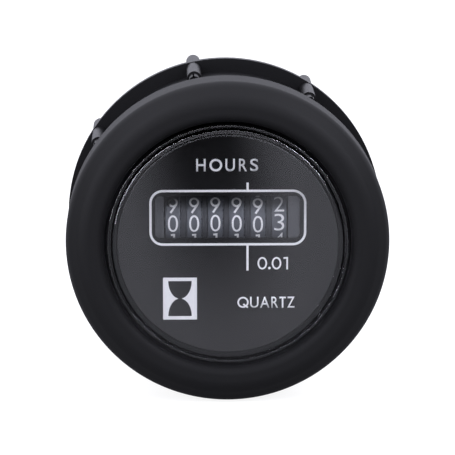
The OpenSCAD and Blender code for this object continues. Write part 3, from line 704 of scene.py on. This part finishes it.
lens_inside = lens_front - lens_t
lens = turned("lens_cap", [(cavity_r, lens_inside), (cavity_r, foot_back), (foot_r, foot_back),
                           (foot_r, foot_front), (lens_r, foot_front), (lens_r, ridge_front),
                           (ridge_r, ridge_front), (ridge_r, groove_front), (cap_r, groove_front),
                           (cap_r, lens_front)])
fill_ring(lens, cap_r, lens_front)
fill_ring(lens, cavity_r, lens_inside)
round_ring(lens, cap_r, lens_front, cap_round, steps=10)
round_ring(lens, lens_r, ridge_front, ridge_round, steps=8)
round_ring(lens, ridge_r, ridge_front, inner_round, steps=4)
round_ring(lens, lens_r, foot_front, foot_round, steps=4)
round_ring(lens, cavity_r, lens_inside, cavity_round, steps=6)
edge_flat_end(lens, lens_front, flat_edge)
edge_flat_end(lens, lens_inside, flat_edge)
close_up(lens)

acrylic_tint = (0.98, 0.985, 0.99)
acrylic_ior = 1.49
acrylic = bpy.data.materials.new("acrylic")
acrylic.use_nodes = True
tree = acrylic.node_tree
shader = tree.nodes["Principled BSDF"]
shader.inputs["Base Color"].default_value = (*acrylic_tint, 1)
shader.inputs["Roughness"].default_value = 0.0
shader.inputs["IOR"].default_value = acrylic_ior
shader.inputs["Transmission Weight"].default_value = 1.0
open_air = tree.nodes.new("ShaderNodeBsdfTransparent")
rays = tree.nodes.new("ShaderNodeLightPath")
let_light_in = tree.nodes.new("ShaderNodeMixShader")
tree.links.new(rays.outputs["Is Shadow Ray"], let_light_in.inputs["Fac"])
tree.links.new(shader.outputs["BSDF"], let_light_in.inputs[1])
tree.links.new(open_air.outputs["BSDF"], let_light_in.inputs[2])
tree.links.new(let_light_in.outputs["Shader"], tree.nodes["Material Output"].inputs["Surface"])
lens.data.materials.append(acrylic)
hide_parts("lens")
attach(lens, "meter")

# Rubber bezel
# The bezel is a soft black rubber ring with a thick rounded front, stretched over the case flange. It
# holds the lens down, and its back seals against the panel.
bezel_r = 30 * mm
bezel_side = 9.6 * mm
bezel_front = 12.6 * mm
opening_r = 22.9 * mm
neck_r = 26.55 * mm
bezel_back = 4.4 * mm
flange_r = 28.05 * mm
edge_r = bezel_r - (bezel_front - bezel_side)
opening_round = 1.6 * mm
shoulder_round = 1.33 * mm
side_round = 1.25 * mm
back_round = 0.8 * mm
lip_w = 1.3 * mm
# Shine of the lip by the lens, lowered as painted shade in the groove
shaded_lip_shine = 0.02
front_shine = 0.118
bezel = turned("bezel_ring", [(opening_r, foot_front), (opening_r, bezel_front), (edge_r, bezel_front),
                              (bezel_r, bezel_side), (bezel_r, 0), (neck_r, 0), (neck_r, bezel_back),
                              (flange_r, bezel_back), (flange_r, foot_front),
                              (opening_r, foot_front)])
close_up(bezel)
round_ring(bezel, opening_r, bezel_front, opening_round, steps=10)
round_ring(bezel, edge_r, bezel_front, shoulder_round, steps=10)
round_ring(bezel, bezel_r, bezel_side, side_round, steps=10)
round_ring(bezel, bezel_r, 0, back_round, steps=6)
close_up(bezel)
rubber = textured("rubber", (0.0045, 0.0045, 0.0048), (0.007, 0.007, 0.0074), 0.1 * mm,
                  (0.52, 0.62), 0.004 * mm)
# The lip round the opening has less shine than the rest of the front, as painted shade in the groove
# beside the lens
tree = rubber.node_tree
from_middle = distance_from(tree, (0, 0, 0), (1, 0, 1))
painted_lip_shade = ramp(tree, from_middle, opening_r, opening_r + lip_w, shaded_lip_shine, front_shine)
tree.links.new(painted_lip_shade, tree.nodes["Principled BSDF"].inputs["Specular IOR Level"])
bezel.data.materials.append(rubber)
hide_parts("rubber_bezel")
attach(bezel, "meter")

# Clamp ring
# The clamp ring is a thin black moulding that is pushed along the barrel from behind. Its round
# fingers press on the back of the panel, and the catches in its sleeve hold on the grip rings.
ring_plastic = textured("ring_plastic", (0.003, 0.003, 0.0034), (0.0045, 0.0045, 0.005), 0.15 * mm,
                        (0.4, 0.5), 0.002 * mm, shine=0.18)
dress(ring_plastic, "ring_black", "clamp_ring")

# Studio
# The meter stands on a plain white floor before a white background, between two soft boxes and with a
# weak one in front. The room behind the camera is darker, and a strip of the floor before the meter
# is darkened as painted shade, which the lens mirrors.
floor_z = cad_box[0][2]
floor_side = 6
floor_white = 0.88
floor_tone = 0.215
# Tone of the painted shade in a strip of floor before the meter
shade_strip_tone = 0.008
strip_place = (0, -0.3, floor_z)
strip_reach = (0.023, 0.26, 1)
strip_fade = (0.2, 1.05)
cool = (0.88, 0.885, 1.0)


def daylight(tree, rays):
    """A node output with the cool colour of the light, or white where the camera sees it straight."""
    colour = tree.nodes.new("ShaderNodeMix")
    colour.data_type = "RGBA"
    colour.inputs["A"].default_value = (*cool, 1)
    colour.inputs["B"].default_value = (1, 1, 1, 1)
    tree.links.new(rays.outputs["Is Camera Ray"], colour.inputs["Factor"])
    return colour.outputs["Result"]


def brighter(tree, one, other):
    """A node output with the brighter of two lights."""
    choice = tree.nodes.new("ShaderNodeMath")
    choice.operation = "MAXIMUM"
    tree.links.new(one, choice.inputs[0])
    tree.links.new(other, choice.inputs[1])
    return choice.outputs["Value"]


bpy.ops.object.select_all(action="DESELECT")
bpy.ops.mesh.primitive_plane_add(size=floor_side, location=(0, 0, floor_z))
floor = bpy.context.object
floor.name = "floor"
apply_place(floor)
paper = bpy.data.materials.new("paper")
paper.use_nodes = True
tree = paper.node_tree
shader = tree.nodes["Principled BSDF"]
shader.inputs["Roughness"].default_value = 1.0
shader.inputs["Specular IOR Level"].default_value = 0.0
rays = tree.nodes.new("ShaderNodeLightPath")
place = tree.nodes.new("ShaderNodeTexCoord")
over_strip = tree.nodes.new("ShaderNodeMapping")
over_strip.vector_type = "TEXTURE"
over_strip.inputs["Location"].default_value = strip_place
over_strip.inputs["Scale"].default_value = strip_reach
from_strip = tree.nodes.new("ShaderNodeVectorMath")
from_strip.operation = "LENGTH"
tree.links.new(place.outputs["Object"], over_strip.inputs["Vector"])
tree.links.new(over_strip.outputs["Vector"], from_strip.inputs[0])
# The floor's tone darkens in a strip before the meter, painted shade that the lens mirrors
floor_painted_shade = ramp(tree, from_strip.outputs["Value"], *strip_fade, shade_strip_tone, floor_tone, "SMOOTHSTEP")
tree.links.new(floor_painted_shade, shader.inputs["Base Color"])
mirrored = tree.nodes.new("ShaderNodeMath")
mirrored.operation = "MULTIPLY"
in_mirror = brighter(tree, rays.outputs["Is Glossy Ray"], rays.outputs["Is Transmission Ray"])
tree.links.new(in_mirror, mirrored.inputs[0])
tree.links.new(floor_painted_shade, mirrored.inputs[1])
white = tree.nodes.new("ShaderNodeMath")
white.operation = "MULTIPLY_ADD"
white.inputs[1].default_value = floor_white
tree.links.new(rays.outputs["Is Camera Ray"], white.inputs[0])
tree.links.new(mirrored.outputs["Value"], white.inputs[2])
tree.links.new(daylight(tree, rays), shader.inputs["Emission Color"])
tree.links.new(white.outputs["Value"], shader.inputs["Emission Strength"])
floor.data.materials.append(paper)

room_glow = 0.3
wall_glow = 1.6
wall_span = (-0.1, 0.7)
ceiling_glow = 2.2
ceiling_span = (0.3, 0.95)
world = bpy.data.worlds.new("studio")
bpy.context.scene.world = world
world.use_nodes = True
tree = world.node_tree
sky = tree.nodes["Background"]
rays = tree.nodes.new("ShaderNodeLightPath")
tree.links.new(daylight(tree, rays), sky.inputs["Color"])
place = tree.nodes.new("ShaderNodeTexCoord")
direction = tree.nodes.new("ShaderNodeSeparateXYZ")
tree.links.new(place.outputs["Generated"], direction.inputs["Vector"])
back_wall = ramp(tree, direction.outputs["Y"], *wall_span, room_glow, wall_glow, "SMOOTHSTEP")
ceiling = ramp(tree, direction.outputs["Z"], *ceiling_span, 0, ceiling_glow, "SMOOTHSTEP")
around = brighter(tree, back_wall, ceiling)
tree.links.new(brighter(tree, around, rays.outputs["Is Camera Ray"]), sky.inputs["Strength"])

# Each box with its turn from the front and its rise in degrees, its width and height, and its watts
boxes = (("box_left", -53, 27, 0.36, 1.1, 10), ("box_right", 55, 36, 0.24, 0.56, 7.4),
         ("box_front", 0, 12, 1.1, 0.5, 2))
box_gap = 0.9
for name, turn, rise, box_w, box_h, power in boxes:
    turn = math.radians(turn)
    rise = math.radians(rise)
    place = box_gap * Vector((math.sin(turn) * math.cos(rise), -math.cos(turn) * math.cos(rise),
                              math.sin(rise)))
    bpy.ops.object.select_all(action="DESELECT")
    bpy.ops.object.light_add(type="AREA", location=place)
    lamp = bpy.context.object
    lamp.name = name
    lamp.data.shape = "RECTANGLE"
    lamp.data.size = box_w
    lamp.data.size_y = box_h
    lamp.data.energy = power
    lamp.data.color = cool
    lamp.rotation_euler = place.to_track_quat("Z", "Y").to_euler()

# Camera
# The photograph was taken from in front, a little above and to the left, with a long lens. These
# values place the middle of the bezel's front edge on its pixel in the 455 pixel square image.
image_side = 455
film_w = 36
focal = 3459
camera_gap = 639.5 * mm
camera_rise = math.radians(10.5)
camera_turn = math.radians(1.1)
target = Vector((0, -bezel_side, 0))
target_pixel = (227.8, 242.7)
look = Vector((math.sin(camera_turn) * math.cos(camera_rise),
               math.cos(camera_turn) * math.cos(camera_rise), -math.sin(camera_rise)))
right = Vector((math.cos(camera_turn), -math.sin(camera_turn), 0))
up = right.cross(look)
aside = (target_pixel[0] - image_side / 2) / focal * camera_gap
below = (target_pixel[1] - image_side / 2) / focal * camera_gap
camera_place = target - look * camera_gap - right * aside + up * below
bpy.ops.object.select_all(action="DESELECT")
bpy.ops.object.camera_add(location=camera_place, rotation=look.to_track_quat("-Z", "Y").to_euler())
camera = bpy.context.object
camera.data.sensor_width = film_w
camera.data.lens = focal / image_side * film_w
bpy.context.scene.camera = camera
bpy.context.scene.view_settings.view_transform = "Standard"
bpy.context.scene.cycles.caustics_refractive = False
bpy.context.scene.cycles.caustics_reflective = False

bpy.context.view_layer.update()
